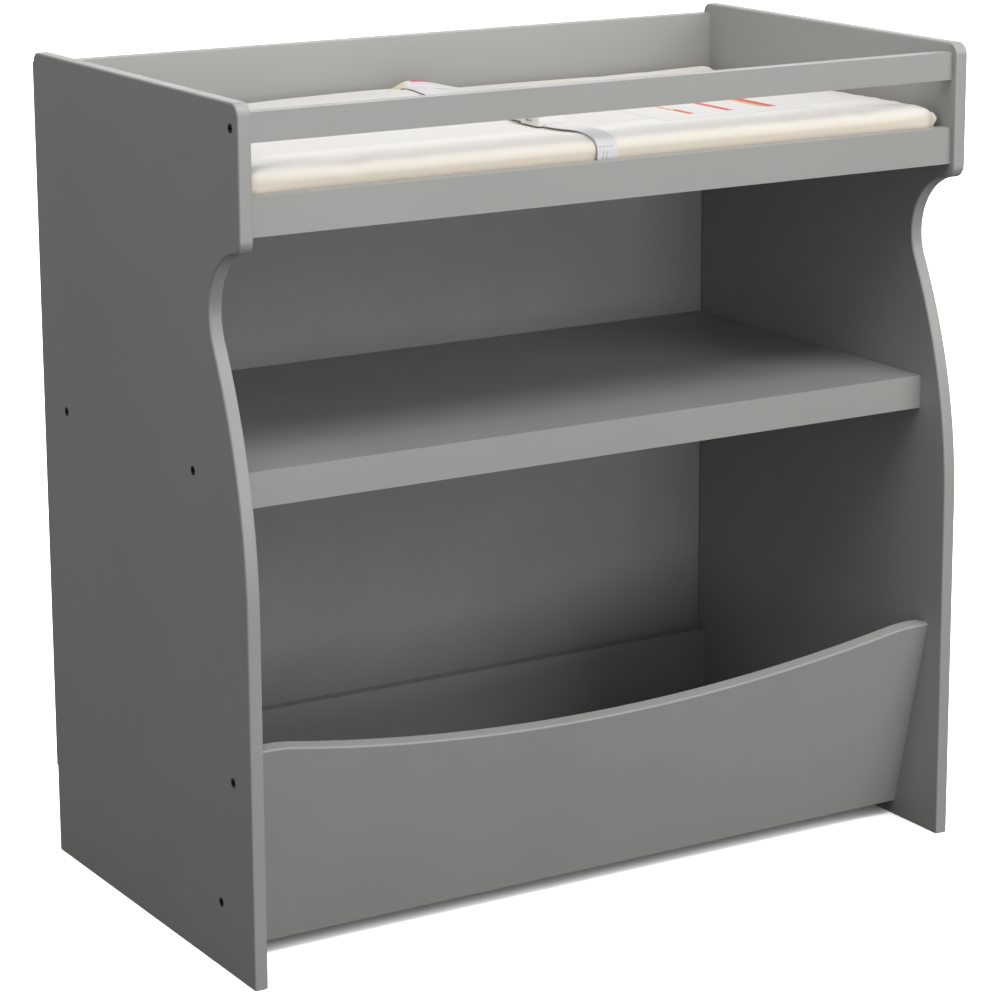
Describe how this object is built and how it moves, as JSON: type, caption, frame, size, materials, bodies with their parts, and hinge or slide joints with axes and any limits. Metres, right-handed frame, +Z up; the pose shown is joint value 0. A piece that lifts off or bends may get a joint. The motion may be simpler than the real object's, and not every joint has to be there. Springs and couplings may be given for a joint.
{
  "type": "changing table",
  "caption": "Free-standing changing table: railed deck with a lift-off strapped pad, an open shelf below and a tilted-front toy bin at the floor.",
  "frame": {"origin": "on the floor under the middle of the table's overall box", "axes": "+X towards the right end of the table as seen by someone standing in front of it, -Y towards the front, +Z up"},
  "size_m": [0.87, 0.478, 0.888],
  "materials": {
    "painted_board": "satin grey paint over fibreboard",
    "painted_back": "matt grey paint over hardboard",
    "pad_vinyl": "soft wipe-clean vinyl, off-white",
    "foam": "open-cell foam",
    "webbing": "woven webbing, white",
    "printed_film": "printed film with coral bars",
    "buckle_plastic": "moulded, satin white",
    "dark_steel": "black oxide",
    "zinc": "zinc plated",
    "beech": "bare beech"
  },
  "bodies": {
    "table": {"left_side_panel": "painted_board", "right_side_panel": "painted_board", "guard_rail": "painted_board", "deck_front_rail": "painted_board", "changing_deck": "painted_board", "upper_back_board": "painted_board", "middle_shelf": "painted_board", "shelf_front_rail": "painted_board", "bin_front_panel": "painted_board", "bin_floor": "painted_board", "lower_back_board": "painted_board", "back_panel": "painted_back", "side_screws": "dark_steel", "cam_locks": "zinc", "cam_bolts": "zinc", "wooden_dowels": "beech", "back_nails": "zinc"},
    "changing_pad": {"pad_cover": "pad_vinyl", "pad_foam": "foam", "front_strap": "webbing", "rear_strap": "webbing", "strap_tag": "webbing", "printed_patch": "printed_film", "buckle_socket": "buckle_plastic"},
    "buckle_male": {"buckle_plug": "buckle_plastic"}
  },
  "joints": [
    {"name": "pad_lift", "type": "slide", "parent": "table", "child": "changing_pad", "axis": [0, 0, 1], "range_m": [0, 0.25]},
    {"name": "buckle_release", "type": "slide", "parent": "changing_pad", "child": "buckle_male", "axis": [0, 1, 0], "range_m": [0, 0.03]}
  ]
}
